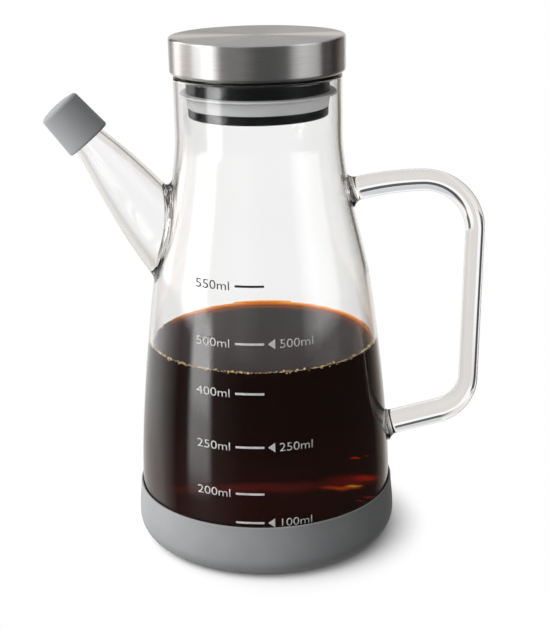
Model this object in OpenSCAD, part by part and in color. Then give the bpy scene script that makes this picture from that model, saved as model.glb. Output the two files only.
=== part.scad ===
// Oil and vinegar dispenser: a clear glass flask with a pouring spout and a rod handle
// fused to it, a push-in stopper under a steel lid, a soft cap on the spout and a soft boot.
// Millimetres. The origin is the middle of the boot's underside and +Z is up.
// The handle points to +X and the spout to -X.

/* [Flask] */
// Outer radius of the straight foot band
foot_r = 46; // [43:0.5:50]
// Height of the foot band above the glass bottom
foot_band_h = 20; // [19:0.5:26]
// Radius of the outer bottom corner
foot_corner_r = 6; // [4:0.5:9]
// Outer radius at the shoulder, where the barrel passes into the cone
shoulder_r = 38.5; // [36:0.5:41]
// Height of the shoulder above the glass bottom
shoulder_h = 97; // [90:1:104]
// Lean of the wall at the shoulder, in degrees from upright
shoulder_lean = 9; // [5:0.5:12]
// Outer radius of the neck
neck_r = 29.2; // [27:0.2:31]
// Height above the glass bottom where the straight neck begins
neck_h = 147.7; // [140:0.5:152]
// Height of the glass from its bottom to its rim
flask_h = 167.6; // [164:0.2:180]
// Thickness of the glass wall
wall = 1.6; // [1.2:0.1:2.2]
// Thickness of the glass bottom
bottom_wall = 2; // [1.5:0.1:4]

/* [Contents] */
// Depth of the vinegar above the inside of the glass bottom
fill_depth = 69.5; // [20:0.5:90]

/* [Spout] */
// Height above the glass bottom where the spout's axis crosses the wall
spout_h = 112.5; // [106:0.5:118]
// Lean of the spout's axis from upright at the wall, in degrees
spout_lean = 35.5; // [30:0.5:38]
// Lean of the pouring tip from upright, in degrees
tip_lean = 40; // [38:0.5:46]
// Outer radius of the funnel where it meets the wall
spout_root_r = 12.8; // [10:0.1:13]
// Outer radius of the pouring tip
spout_tip_r = 6; // [5:0.1:7]
// Straight length of the spout's axis from the wall to its bend
spout_straight = 28.5; // [20:0.5:32]
// Radius of the bend in the spout's axis
spout_bend_r = 160; // [120:5:220]
// Length of the pouring tip that the cap covers
spout_tip_len = 11.5; // [7:0.5:13]
// Thickness of the spout's glass
spout_wall = 1.4; // [1:0.1:2]
// Radius of the hole through the flask's wall
pour_hole_r = 7; // [4:0.5:8]

/* [Handle] */
// Diameter of the rod where the upper arm leaves the wall
arm_d = 8.5; // [6.5:0.1:9]
// Diameter of the rod along the grip
grip_d = 7; // [6:0.1:9]
// Diameter of the rod along the lower arm
low_d = 9.1; // [6.5:0.1:10]
// Height above the glass bottom where the upper arm leaves the wall
handle_h = 126; // [122:0.5:130]
// Rise of the upper arm where it leaves the wall, in degrees
arm_rise = 14.5; // [8:0.5:18]
// Radius of the long curve of the upper arm
arm_sweep_r = 102; // [90:1:112]
// Radius of the upper bend
upper_bend_r = 19; // [17:0.5:24]
// Lean of the grip towards the flask, in degrees
grip_lean = 1.1; // [0:0.1:3]
// Length of the straight grip
grip_len = 55; // [44:0.5:56]
// Radius of the lower bend
lower_bend_r = 14; // [12:0.5:18]
// Rise of the lower arm away from the wall, in degrees
lower_rise = 13.5; // [10:0.5:20]
// How far the rod swells where it is fused to the wall, in radius
weld_rise = 1.2; // [0.4:0.1:2]
// Length of the swelling from the wall along the rod
weld_len = 4; // [2:0.1:6]

/* [Boot] */
// Thickness of the boot's floor
boot_floor = 2; // [1.5:0.1:3]
// Thickness of the boot's wall
boot_wall = 1.6; // [1.2:0.1:2.5]
// Thickness of the boot's rim
boot_rim_t = 0.8; // [0.6:0.1:1.1]
// Height of the boot
boot_h = 20; // [17:0.1:20.8]
// Radius of the boot's bottom corner
boot_corner_r = 7.5; // [5:0.1:8.5]

/* [Stopper and lid] */
// How far the lid stands out past the neck
lid_overhang = 1.15; // [0.8:0.05:2]
// Height of the steel lid
lid_h = 12.4; // [10:0.2:18]
// Thickness of the steel sheet
steel_t = 0.7; // [0.4:0.1:1]
// Rounding of the lid's top edge
lid_top_round = 0.8; // [0.4:0.1:1.5]
// Rounding of the lid's lower edge
lid_low_round = 1.2; // [0.6:0.1:1.4]
// Height of the turned-in hem at the lid's lower edge
hem_h = 1.6; // [1.5:0.1:2.5]
// Thickness of the flange that rests on the glass rim
flange_t = 0.8; // [0.5:0.1:1.5]
// How far the flange stays inside the neck's outer edge
flange_inset = 0.6; // [0.3:0.1:1]
// Radial gap between the stopper's collar and the neck
collar_gap = 2.7; // [1.5:0.1:4]
// Length of the collar below the flange
collar_h = 5.5; // [2.5:0.1:6]
// Height of the seal ring
seal_h = 5.3; // [4.5:0.1:9]
// Depth of the seat that the seal ring sits in
seal_seat = 2.3; // [1.5:0.1:3]
// Thickness of the lip of the seal ring
seal_lip_t = 0.7; // [0.5:0.1:1.5]
// Thickness of the disc that closes the stopper
base_disc_t = 3.1; // [2:0.1:5]
// How far the closing disc stays inside the collar
base_disc_inset = 0.5; // [0.2:0.1:1]
// Thickness of the stopper's moulded wall
stopper_wall = 2.2; // [1.5:0.1:3]
// Height of the spigot that holds the closing disc
spigot_h = 4; // [2:0.1:6]

/* [Spout cap] */
// Thickness of the cap's wall at its mouth
cap_mouth_wall = 2.1; // [1.5:0.05:3]
// How much narrower the cap's closed end is, in radius
cap_taper = 0.7; // [0:0.1:2]
// Length of the cap to the edge of its closed end
cap_len = 15.8; // [15:0.1:20]
// Rise of the crown on the closed end
cap_crown = 0.6; // [0.4:0.1:2]
// Rounding of the cap's closed end
cap_round = 1.6; // [0.8:0.1:2.5]
// Rounding of the cap's mouth
cap_mouth_round = 0.8; // [0.3:0.1:1]

/* [Fits] */
// Gap between pieces that stay together
fit_gap = 0.1; // [0.05:0.05:0.3]
// Gap between pieces that slide apart
slide_gap = 0.3; // [0.15:0.05:0.5]

/* [Hidden] */
$fn = 96;
curve_steps = 12;
arc_steps = 6;
// Shares of a curve's height over which it keeps the direction of its end
foot_ease = 0.2;
barrel_ease = 0.32;
cone_ease = 0.15;
neck_ease = 0.31;
spout_root_ease = 0.59;
spout_tip_ease = 0.06;
boot_low_ease = 0.45;
boot_rim_ease = 0.3;
// Heights above the table
base_z = boot_floor;
floor_z = base_z + bottom_wall;
band_z = base_z + foot_band_h;
shoulder_z = base_z + shoulder_h;
neck_z = base_z + neck_h;
rim_z = base_z + flask_h;
fill_z = floor_z + fill_depth;
spout_z = base_z + spout_h;
handle_z = base_z + handle_h;
// Glass
rim_round = 0.35 * wall;
cavity_corner_r = foot_corner_r - wall;
corner_x = foot_r - foot_corner_r;
spout_sink = 1.5 * spout_root_r;
spout_sides = 40;
spout_reach = spout_straight + arc_length(spout_bend_r, tip_lean - spout_lean);
tip_lip = 0.4 * spout_wall;
bore_past = 1;
pour_hole_len = 2 * pour_hole_r + 4 * wall;
weld_sink = 2 * weld_len;
rod_sides = 20;
rod_steps = 44;
weld_steps = 4;
// Boot
boot_hole_r = foot_r + fit_gap;
boot_r = boot_hole_r + boot_wall;
boot_rim_r = boot_hole_r + boot_rim_t;
boot_rim_round = 0.45 * boot_rim_t;
// Stopper and lid
lid_r = neck_r + lid_overhang;
lid_z = rim_z + flange_t;
lid_top_z = lid_z + lid_h;
hem_z = lid_z + hem_h;
flange_r = neck_r - flange_inset;
bore_r = neck_r - wall;
collar_r = bore_r - collar_gap;
collar_z = rim_z - collar_h;
seat_r = collar_r - seal_seat;
seat_z = collar_z - seal_h;
seal_lip_r = bore_r - slide_gap;
base_disc_r = collar_r - base_disc_inset;
stopper_hole_r = seat_r - stopper_wall;
// Spout cap
cap_hole_r = spout_tip_r + slide_gap;
cap_hole_depth = spout_tip_len + slide_gap;
cap_mouth_r = cap_hole_r + cap_mouth_wall;
cap_end_r = cap_mouth_r - cap_taper;
// Degrees of rounding at the cap's closed end before its crown begins
cap_round_turn = 60;

// Points along a curve that leaves a towards b and comes into d from c
function curve(a, b, c, d) =
    [for (i = [0:curve_steps])
        let (t = i / curve_steps, u = 1 - t)
        u * u * u * a + 3 * u * u * t * b + 3 * u * t * t * c + t * t * t * d];

function arc(centre, r, from, to) =
    [for (i = [0:arc_steps])
        let (angle = from + (to - from) * i / arc_steps)
        centre + r * [cos(angle), sin(angle)]];

function moved(points, by) = [for (p = points) p + by];

function backwards(points) = [for (i = [len(points) - 1:-1:0]) points[i]];

// Outside of the glass from the foot band to the neck, as radius and height
lean = tan(shoulder_lean);
barrel_h = shoulder_z - band_z;
cone_h = neck_z - shoulder_z;
barrel = curve([foot_r, band_z], [foot_r, band_z + foot_ease * barrel_h],
               [shoulder_r + lean * barrel_ease * barrel_h, shoulder_z - barrel_ease * barrel_h],
               [shoulder_r, shoulder_z]);
cone = curve([shoulder_r, shoulder_z],
             [shoulder_r - lean * cone_ease * cone_h, shoulder_z + cone_ease * cone_h],
             [neck_r, neck_z - neck_ease * cone_h], [neck_r, neck_z]);
side = concat(barrel, [for (i = [1:curve_steps]) cone[i]]);

function radius_at(z) = lookup(z, [for (p = side) [p.y, p.x]]);

module flask_outside() {
    rotate_extrude()
        polygon(concat([[0, base_z]],
                       arc([corner_x, base_z + foot_corner_r], foot_corner_r, -90, 0),
                       side, [[neck_r, rim_z], [0, rim_z]]));
}

// The hollow of the flask, drawn in by a gap on every side
module flask_inside(gap) {
    rotate_extrude()
        polygon(concat([[0, floor_z + gap]],
                       arc([corner_x, floor_z + cavity_corner_r], cavity_corner_r - gap, -90, 0),
                       moved(side, [-wall - gap, 0]),
                       [[bore_r - gap, rim_z], [0, rim_z]]));
}

// A line in the XZ plane. A heading of 0 points to +X and 90 points up.
// A bend turns to the right of its heading, or to the left where its radius is negative.
function unit(heading) = [cos(heading), sin(heading)];
function right_of(heading) = [sin(heading), -cos(heading)];
function arc_length(r, turn) = r * turn * PI / 180;
function on_run(start, heading, s) = [start + s * unit(heading), heading];
function on_bend(centre, r, from, s) =
    let (heading = from - s / r * 180 / PI) [centre - r * right_of(heading), heading];

// A solid swept through round sections, each at a place, which is a point and a heading
module sweep(places, radii, sides) {
    last = len(places) - 1;
    points = [for (k = [0:last], i = [0:sides - 1])
        let (angle = 360 * i / sides,
             across = places[k][0] + radii[k] * cos(angle) * right_of(places[k][1]))
        [across.x, radii[k] * sin(angle), across.y]];
    skin = [for (k = [0:last - 1], i = [0:sides - 1])
        let (j = (i + 1) % sides, low = k * sides, high = low + sides)
        each [[low + i, high + j, low + j], [low + i, high + i, high + j]]];
    ends = [[for (i = [0:sides - 1]) i], [for (i = [sides - 1:-1:0]) last * sides + i]];
    polyhedron(points, concat(skin, ends), convexity = 4);
}

// The spout's axis, from the wall to the mouth of the cap
spout_heading = 90 + spout_lean;
spout_start = [-radius_at(spout_z), spout_z];
spout_bend_start = spout_start + spout_straight * unit(spout_heading);
spout_centre = spout_bend_start - spout_bend_r * right_of(spout_heading);
spout_mouth = spout_centre + spout_bend_r * right_of(90 + tip_lean);

function spout_place(s) =
    s < spout_straight ? on_run(spout_start, spout_heading, s)
    : s < spout_reach ? on_bend(spout_centre, -spout_bend_r, spout_heading, s - spout_straight)
    : on_run(spout_mouth, 90 + tip_lean, s - spout_reach);

// Places children at a length along the spout's axis, with +Z pointing along it
module on_spout(s) {
    place = spout_place(s);
    translate([place[0].x, 0, place[0].y])
        rotate([0, 90 - place[1], 0])
            children();
}

module flask() {
    color("#dfe9e8", 0.35)
        difference() {
            rotate_extrude()
                polygon(concat(
                    [[0, base_z]],
                    arc([corner_x, base_z + foot_corner_r], foot_corner_r, -90, 0),
                    side,
                    arc([neck_r - rim_round, rim_z - rim_round], rim_round, 0, 90),
                    arc([bore_r + rim_round, rim_z - rim_round], rim_round, 90, 180),
                    moved(backwards(side), [-wall, 0]),
                    arc([corner_x, floor_z + cavity_corner_r], cavity_corner_r, 0, -90),
                    [[0, floor_z]]));
            on_spout(-pour_hole_len / 2)
                cylinder(h = pour_hole_len, r = pour_hole_r);
        }
}

// A pulled funnel, cut to the flask's wall, with a straight tip for the cap
module spout() {
    run = spout_sink + spout_reach;
    tip_s = spout_reach + spout_tip_len;
    funnel = curve([spout_root_r, -spout_sink],
                   [spout_root_r, spout_root_ease * run - spout_sink],
                   [spout_tip_r, spout_reach - spout_tip_ease * run],
                   [spout_tip_r, spout_reach]);
    outside = concat(funnel, [[spout_tip_r, tip_s - tip_lip], [spout_tip_r - tip_lip, tip_s]]);
    inside = moved(concat([funnel[0] - [0, bore_past]], funnel, [[spout_tip_r, tip_s + bore_past]]),
                   [-spout_wall, 0]);
    color("#dfe9e8", 0.35)
        difference() {
            sweep([for (p = outside) spout_place(p.y)], [for (p = outside) p.x], spout_sides);
            sweep([for (p = inside) spout_place(p.y)], [for (p = inside) p.x], spout_sides);
            flask_outside();
        }
}

// The line of the handle's rod, from the upper wall round to the lower wall
grip_heading = -90 - grip_lean;
low_heading = lower_rise - 180;
arm_start = [radius_at(handle_z), handle_z];
sweep_centre = arm_start + arm_sweep_r * right_of(arm_rise);
arm_end = sweep_centre - arm_sweep_r * right_of(0);
upper_centre = arm_end + upper_bend_r * right_of(0);
grip_start = upper_centre - upper_bend_r * right_of(grip_heading);
grip_end = grip_start + grip_len * unit(grip_heading);
lower_centre = grip_end + lower_bend_r * right_of(grip_heading);
low_start = lower_centre - lower_bend_r * right_of(low_heading);
// The lower arm ends where its line crosses the wall, found in two steps
function low_line(x) = low_start.y - (low_start.x - x) * tan(lower_rise);
low_x1 = radius_at(low_line(foot_r));
low_x2 = radius_at(low_line(low_x1));
low_end = [low_x2, low_line(low_x2)];

// Lengths along the rod's line from the upper wall to the end of each stretch
sweep_s = arc_length(arm_sweep_r, arm_rise);
upper_s = sweep_s + arc_length(upper_bend_r, -grip_heading);
grip_s = upper_s + grip_len;
lower_s = grip_s + arc_length(lower_bend_r, grip_heading - low_heading);
rod_s = lower_s + norm(low_start - low_end);

// The point and the heading at a length along the rod's line
function rod_place(s) =
    s < 0 ? on_run(arm_start, arm_rise, s)
    : s < sweep_s ? on_bend(sweep_centre, arm_sweep_r, arm_rise, s)
    : s < upper_s ? on_bend(upper_centre, upper_bend_r, 0, s - sweep_s)
    : s < grip_s ? on_run(grip_start, grip_heading, s - upper_s)
    : s < lower_s ? on_bend(lower_centre, lower_bend_r, grip_heading, s - grip_s)
    : on_run(low_start, low_heading, s - lower_s);

// The swelling at a distance from the wall, and the rod's radius with it
function weld_at(distance) = weld_rise * pow(max(0, 1 - max(0, distance) / weld_len), 2);
function rod_radius(s) =
    lookup(s, [[0, arm_d / 2], [upper_s, grip_d / 2], [grip_s, grip_d / 2], [lower_s, low_d / 2]])
    + weld_at(s) + weld_at(rod_s - s);

rod_stations = concat(
    [-weld_sink],
    [for (i = [0:weld_steps - 1]) weld_len * i / weld_steps],
    [for (i = [0:rod_steps]) weld_len + (rod_s - 2 * weld_len) * i / rod_steps],
    [for (i = [weld_steps - 1:-1:0]) rod_s - weld_len * i / weld_steps],
    [rod_s + weld_sink]);

// A solid glass rod, bent in one plane and cut to the flask's wall at both ends
module handle() {
    color("#dfe9e8", 0.35)
        difference() {
            sweep([for (s = rod_stations) rod_place(s)], [for (s = rod_stations) rod_radius(s)], rod_sides);
            flask_outside();
        }
}

module vinegar() {
    color("#24130b")
        intersection() {
            flask_inside(fit_gap);
            cylinder(h = fill_z, r = foot_r);
        }
}

module base_boot() {
    slope_h = boot_h - boot_rim_round - boot_corner_r;
    rim_y = boot_h - boot_rim_round;
    color("#8b8f90")
        rotate_extrude()
            polygon(concat(
                [[0, 0]],
                arc([boot_r - boot_corner_r, boot_corner_r], boot_corner_r, -90, 0),
                curve([boot_r, boot_corner_r], [boot_r, boot_corner_r + boot_low_ease * slope_h],
                      [boot_rim_r, rim_y - boot_rim_ease * slope_h], [boot_rim_r, rim_y]),
                arc([boot_rim_r - boot_rim_round, rim_y], boot_rim_round, 0, 90),
                arc([boot_hole_r + boot_rim_round, rim_y], boot_rim_round, 90, 180),
                arc([corner_x + fit_gap, base_z + foot_corner_r], foot_corner_r, 0, -90),
                [[0, base_z]]));
}

// A drawn steel cup, open below, whose hem holds the stopper's disc
module lid_shell() {
    low_y = lid_z + lid_low_round;
    top_y = lid_top_z - lid_top_round;
    hole_r = lid_r - steel_t;
    color("#b9bdbf")
        rotate_extrude()
            polygon(concat(
                [[flange_r + fit_gap, lid_z]],
                arc([lid_r - lid_low_round, low_y], lid_low_round, -90, 0),
                arc([lid_r - lid_top_round, top_y], lid_top_round, 0, 90),
                [[0, lid_top_z], [0, lid_top_z - steel_t], [hole_r, lid_top_z - steel_t],
                 [hole_r, hem_z], [flange_r + fit_gap, hem_z]]));
}

// The moulded stopper: a disc held in the lid, a flange on the glass rim and a hollow plug
module stopper_body() {
    disc_r = lid_r - steel_t - fit_gap;
    disc_z = hem_z + fit_gap;
    disc_top_z = lid_top_z - steel_t;
    color("#161718")
        rotate_extrude()
            polygon([[stopper_hole_r, seat_z], [seat_r, seat_z], [seat_r, collar_z],
                     [collar_r, collar_z], [collar_r, rim_z], [flange_r, rim_z],
                     [flange_r, disc_z], [disc_r, disc_z], [disc_r, disc_top_z],
                     [stopper_hole_r, disc_top_z]]);
}

// A soft ring in the plug's seat, whose upper lip wipes the neck
module seal_ring() {
    hole_r = seat_r + fit_gap;
    lip_low_z = collar_z - 2 * seal_lip_t;
    color("#b4b6b6")
        rotate_extrude()
            polygon([[hole_r, seat_z], [base_disc_r, seat_z], [collar_r, lip_low_z],
                     [seal_lip_r, collar_z - seal_lip_t], [seal_lip_r, collar_z],
                     [hole_r, collar_z]]);
}

// The disc that closes the plug from below, with a spigot in the plug's hole
module stopper_base() {
    spigot_r = stopper_hole_r - fit_gap;
    low_z = seat_z - base_disc_t;
    edge = base_disc_t / 6;
    color("#161718")
        rotate_extrude()
            polygon(concat(
                [[0, low_z]],
                arc([base_disc_r - edge, low_z + edge], edge, -90, 0),
                [[base_disc_r, seat_z], [spigot_r, seat_z], [spigot_r, seat_z + spigot_h],
                 [0, seat_z + spigot_h]]));
}

module spout_cap() {
    end_z = cap_len - cap_round;
    edge_r = cap_end_r - cap_round;
    color("#8b8f90")
        on_spout(spout_reach)
            rotate_extrude()
                polygon(concat(
                    [[cap_hole_r, 0]],
                    arc([cap_mouth_r - cap_mouth_round, cap_mouth_round], cap_mouth_round, -90, 0),
                    arc([edge_r, end_z], cap_round, 0, cap_round_turn),
                    curve([edge_r, cap_len], [edge_r / 2, cap_len + cap_crown],
                          [edge_r / 3, cap_len + cap_crown], [0, cap_len + cap_crown]),
                    [[0, cap_hole_depth], [cap_hole_r, cap_hole_depth]]));
}

flask();
spout();
handle();
vinegar();
base_boot();
lid_shell();
stopper_body();
seal_ring();
stopper_base();
spout_cap();
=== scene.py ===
import math

import bmesh
import bpy
from mathutils import Matrix, Vector


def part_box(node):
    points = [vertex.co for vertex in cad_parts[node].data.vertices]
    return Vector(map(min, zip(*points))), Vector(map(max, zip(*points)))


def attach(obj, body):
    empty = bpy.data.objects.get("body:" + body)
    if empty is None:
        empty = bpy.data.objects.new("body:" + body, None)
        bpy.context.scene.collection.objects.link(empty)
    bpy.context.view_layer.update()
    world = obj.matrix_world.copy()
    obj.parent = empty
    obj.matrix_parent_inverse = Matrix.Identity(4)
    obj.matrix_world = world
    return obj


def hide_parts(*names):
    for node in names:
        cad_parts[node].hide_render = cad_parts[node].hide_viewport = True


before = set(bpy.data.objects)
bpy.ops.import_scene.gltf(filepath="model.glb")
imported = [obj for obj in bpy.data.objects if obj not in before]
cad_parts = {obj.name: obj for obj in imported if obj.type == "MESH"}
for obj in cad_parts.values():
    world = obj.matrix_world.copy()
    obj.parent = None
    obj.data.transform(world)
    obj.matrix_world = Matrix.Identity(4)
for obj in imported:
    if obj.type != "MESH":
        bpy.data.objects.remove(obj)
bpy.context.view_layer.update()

# Flask
# Blown borosilicate glass: a straight foot band, a barrel that narrows to the shoulder, a cone
# and a straight neck. The rim is rounded in the flame, and a hole under the spout lets it pour.
MM = 0.001
TINY = 1e-6


def linear(code):
    """An sRGB hex colour as linear red, green, blue and alpha."""
    parts = [int(code[i:i + 2], 16) / 255 for i in (1, 3, 5)]
    return tuple(c / 12.92 if c <= 0.04045 else ((c + 0.055) / 1.055) ** 2.4 for c in parts) + (1.0,)


def set_inputs(tree, node, links):
    """Gives a node's inputs a value each, or a link from an output or from a node's first live output."""
    for key, value in links:
        if isinstance(value, bpy.types.Node):
            value = next(socket for socket in value.outputs if socket.enabled)
        if isinstance(value, bpy.types.NodeSocket):
            tree.links.new(value, node.inputs[key])
        else:
            node.inputs[key].default_value = value


def add_node(tree, kind, links=(), stops=(), **settings):
    """Adds a node with its settings and links, and a colour ramp's stops of place and colour."""
    made = tree.nodes.new(kind)
    for name, value in settings.items():
        setattr(made, name, value)
    set_inputs(tree, made, links)
    for index, (place, colour) in enumerate(stops):
        elements = made.color_ramp.elements
        stop = elements[index] if index < 2 else elements.new(place)
        stop.position = place
        stop.color = linear(colour) if isinstance(colour, str) else colour
    return made


def new_material(name, **surface):
    """A material whose Principled shader has these constant values, with its node tree and shader."""
    made = bpy.data.materials.new(name)
    made.use_nodes = True
    shader = made.node_tree.nodes["Principled BSDF"]
    set_inputs(made.node_tree, shader, [(key.replace("_", " "), value) for key, value in surface.items()])
    return made, made.node_tree, shader


def bezier(a, b, c, d, steps):
    """Points of a curve that leaves a towards b and comes into d from c."""
    points = []
    for i in range(steps + 1):
        t = i / steps
        u = 1 - t
        weights = (u ** 3, 3 * u * u * t, 3 * u * t * t, t ** 3)
        points.append(tuple(sum(w * p[k] for w, p in zip(weights, (a, b, c, d))) for k in (0, 1)))
    return points


def arc(centre, radius, start, end, steps=8):
    """Points of a round stretch between two angles in degrees."""
    angles = [math.radians(start + (end - start) * i / steps) for i in range(steps + 1)]
    return [(centre[0] + radius * math.cos(a), centre[1] + radius * math.sin(a)) for a in angles]


def held(outline):
    """The outline with a point near both ends of each long stretch, so that it stays flat when smooth."""
    hold_mm = 0.2
    long_stretch = hold_mm / 0.15
    points = []
    for a, b in zip(outline, outline[1:] + outline[:1]):
        length = math.dist(a, b)
        if length < TINY:
            continue
        points.append(a)
        back_to_axis = b == outline[0] and a[0] <= TINY
        if length > long_stretch and max(a[0], b[0]) > TINY and not back_to_axis:
            share = hold_mm / length
            points.extend([tuple(p + (q - p) * t for p, q in zip(a, b)) for t in (share, 1 - share)])
    return points


def finished(work, name, crease=None):
    """A mesh from a bmesh, shaded smooth up to a crease in degrees, or flat without one."""
    mesh = bpy.data.meshes.new(name)
    work.to_mesh(mesh)
    work.free()
    if crease:
        mesh.shade_smooth()
        mesh.set_sharp_from_angle(angle=math.radians(crease))
    return mesh


def turned(name, outline, segments=192):
    """Turns an outline of radius and height, in mm, about Z. It is a loop unless it starts on the axis."""
    work = bmesh.new()
    turns = [2 * math.pi * k / segments for k in range(segments)]
    rings = []
    for r, z in held(outline):
        if r < TINY:
            rings.append([work.verts.new((0, 0, z * MM))] * segments)
        else:
            ring = [(r * MM * math.cos(t), r * MM * math.sin(t), z * MM) for t in turns]
            rings.append([work.verts.new(point) for point in ring])
    pairs = list(zip(rings, rings[1:]))
    if outline[0][0] > TINY:
        pairs.append((rings[-1], rings[0]))
    for low, high in pairs:
        for k in range(segments):
            corners = [low[k - 1], low[k], high[k], high[k - 1]]
            work.faces.new(list(dict.fromkeys(corners)))
    return finished(work, name, 40)


def put_in_scene(data):
    """An object of a mesh, a text, a lamp or a camera, under the same name."""
    made = bpy.data.objects.new(data.name, data)
    bpy.context.scene.collection.objects.link(made)
    return made


def plain_mesh(made):
    """What an object shows, with its modifiers done, as a plain mesh."""
    return bpy.data.meshes.new_from_object(made.evaluated_get(bpy.context.evaluated_depsgraph_get()))


def add_piece(mesh, material, body, slot, *nodes):
    """Shows a mesh, under its name, as a piece that moves with a body and stands for the given nodes."""
    piece = put_in_scene(mesh)
    if not mesh.materials:
        mesh.materials.append(material)
    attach(piece, body)
    if nodes:
        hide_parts(*nodes)
    return piece


flask_low, flask_high = (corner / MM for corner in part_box("flask"))
foot_r = flask_high.x
base_z = flask_low.z
rim_z = flask_high.z
band_z = base_z + 20
foot_corner_r = 6
shoulder_r = 38.5
shoulder_z = base_z + 97
shoulder_slope = math.tan(math.radians(9))
neck_r = 29.2
neck_z = base_z + 147.7
wall = 1.6
floor_z = base_z + 2
barrel_h = shoulder_z - band_z
cone_h = neck_z - shoulder_z
band_pull = 0.2 * barrel_h
barrel_pull = 0.32 * barrel_h
cone_pull = 0.15 * cone_h
neck_pull = 0.31 * cone_h
barrel = bezier(
    (foot_r, band_z), (foot_r, band_z + band_pull),
    (shoulder_r + shoulder_slope * barrel_pull, shoulder_z - barrel_pull), (shoulder_r, shoulder_z), 36)
cone = bezier(
    (shoulder_r, shoulder_z), (shoulder_r - shoulder_slope * cone_pull, shoulder_z + cone_pull),
    (neck_r, neck_z - neck_pull), (neck_r, neck_z), 36)
side = barrel + cone[1:]
corner_x = foot_r - foot_corner_r
cavity_corner_r = foot_corner_r - wall
flask_outline = (
    [(0, base_z)] + arc((corner_x, base_z + foot_corner_r), foot_corner_r, -90, 0) + side
    + arc((neck_r - wall / 2, rim_z - wall / 2), wall / 2, 0, 180)
    + [(r - wall, z) for r, z in reversed(side)]
    + arc((corner_x, floor_z + cavity_corner_r), cavity_corner_r, 0, -90) + [(0, floor_z)])


def wall_radius(z):
    """Radius of the outside of the glass at a height, in mm."""
    for (r0, z0), (r1, z1) in zip(side, side[1:]):
        if z0 <= z <= z1:
            return r0 + (r1 - r0) * (z - z0) / (z1 - z0)
    return foot_r if z < band_z else neck_r


def clear_glass(name, face_code, edge_shade_code):
    """Clear borosilicate: bright through its face, and darker at a glancing look, mostly painted shade
    for the dark edges that glass shows and a little for the long way the view runs through the glass.
    Its surface waves a little from the blowing and the flame."""
    blown_wave_mm = 22
    wave_depth_mm = 0.4
    made, tree, shader = new_material(name, Roughness=0.0, IOR=1.47, Transmission_Weight=1.0)
    # Painted shade: the glass darkens towards its edges, where real glass shows the dark room it bends
    glance = add_node(tree, "ShaderNodeLayerWeight", [("Blend", 0.5)]).outputs["Facing"]
    tints = [(0.0, "#fdfdfd"), (0.62, face_code), (1.0, edge_shade_code)]
    painted_edge_shade = add_node(tree, "ShaderNodeValToRGB", [("Fac", glance)], tints)
    coords = add_node(tree, "ShaderNodeTexCoord").outputs["Object"]
    wave = add_node(tree, "ShaderNodeTexNoise", [
        ("Vector", coords), ("Scale", 1 / (blown_wave_mm * MM)), ("Detail", 1.0)])
    bump = add_node(tree, "ShaderNodeBump", [
        ("Height", wave), ("Strength", 0.12), ("Distance", wave_depth_mm * MM)])
    set_inputs(tree, shader, [("Base Color", painted_edge_shade), ("Normal", bump)])
    return made


def heading(degrees):
    """A direction in the XZ plane, with 0 along +X and 90 up."""
    return Vector((math.cos(math.radians(degrees)), 0, math.sin(math.radians(degrees))))


def standing_at(place, degrees):
    """The move that takes a piece from standing at the origin to a place in mm and a direction."""
    turn = Vector((0, 0, 1)).rotation_difference(heading(degrees)).to_matrix().to_4x4()
    return Matrix.Translation(place * MM) @ turn


spout_z = base_z + 112.5
spout_lean = 35.5
pour_hole_r = 7
spout_root = Vector((-wall_radius(spout_z), 0, spout_z))
drill_length = 2 * pour_hole_r + 4 * wall
drill_work = bmesh.new()
drill_place = standing_at(spout_root, 90 + spout_lean)
bmesh.ops.create_cone(
    drill_work, cap_ends=True, segments=96, radius1=pour_hole_r * MM, radius2=pour_hole_r * MM,
    depth=drill_length * MM)
bmesh.ops.transform(drill_work, matrix=drill_place, verts=drill_work.verts)
drill = put_in_scene(finished(drill_work, "pour_hole"))
undrilled = put_in_scene(turned("undrilled_flask", flask_outline))
cut = undrilled.modifiers.new("pour_hole", "BOOLEAN")
cut.operation = "DIFFERENCE"
cut.object = drill
cut.solver = "EXACT"
drilled = plain_mesh(undrilled)
drilled.name = "flask_glass"
bpy.data.objects.remove(undrilled)
bpy.data.objects.remove(drill)
# The cut leaves a few slivers along the edge of the hole
sliver_mm = 0.002
edge_work = bmesh.new()
edge_work.from_mesh(drilled)
bmesh.ops.dissolve_degenerate(edge_work, dist=sliver_mm * MM, edges=edge_work.edges)
edge_work.to_mesh(drilled)
edge_work.free()
blown_glass = clear_glass("blown_borosilicate_glass", "#f6f6f5", "#8d877f")
flask = add_piece(drilled, blown_glass, "bottle", "borosilicate_glass", "flask")
flask.visible_shadow = False

# Spout
# A funnel of the same glass, drawn out to a straight tip and flame-welded over the pour hole.
# The weld runs into the flask's wall in a small hollow fillet, which is fuller on its upper side.
tip_lean = 40
spout_root_r = 12.8
spout_tip_r = 6
spout_straight = 28.5
spout_bend_r = 160
spout_tip_len = 11.5
spout_wall = 1.4
spout_sink = 1.5 * spout_root_r
spout_reach = spout_straight + spout_bend_r * math.radians(tip_lean - spout_lean)
spout_run = spout_sink + spout_reach
spout_tip_s = spout_reach + spout_tip_len
lip_r = spout_wall / 2
lip_s = spout_tip_s - lip_r
root_pull = 0.59 * spout_run
tip_pull = 0.06 * spout_run
funnel = bezier(
    (spout_root_r, -spout_sink), (spout_root_r, root_pull - spout_sink),
    (spout_tip_r, spout_reach - tip_pull), (spout_tip_r, spout_reach), 60)


def funnel_radius(s):
    """Outer radius of the funnel at a length along its axis."""
    for (r0, s0), (r1, s1) in zip(funnel, funnel[1:]):
        if s0 <= s <= s1:
            return r0 + (r1 - r0) * (s - s0) / (s1 - s0)
    return spout_root_r if s < 0 else spout_tip_r


def bore_radius(s):
    """Inner radius of the funnel at a length along its axis."""
    return funnel_radius(s) - spout_wall


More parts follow.
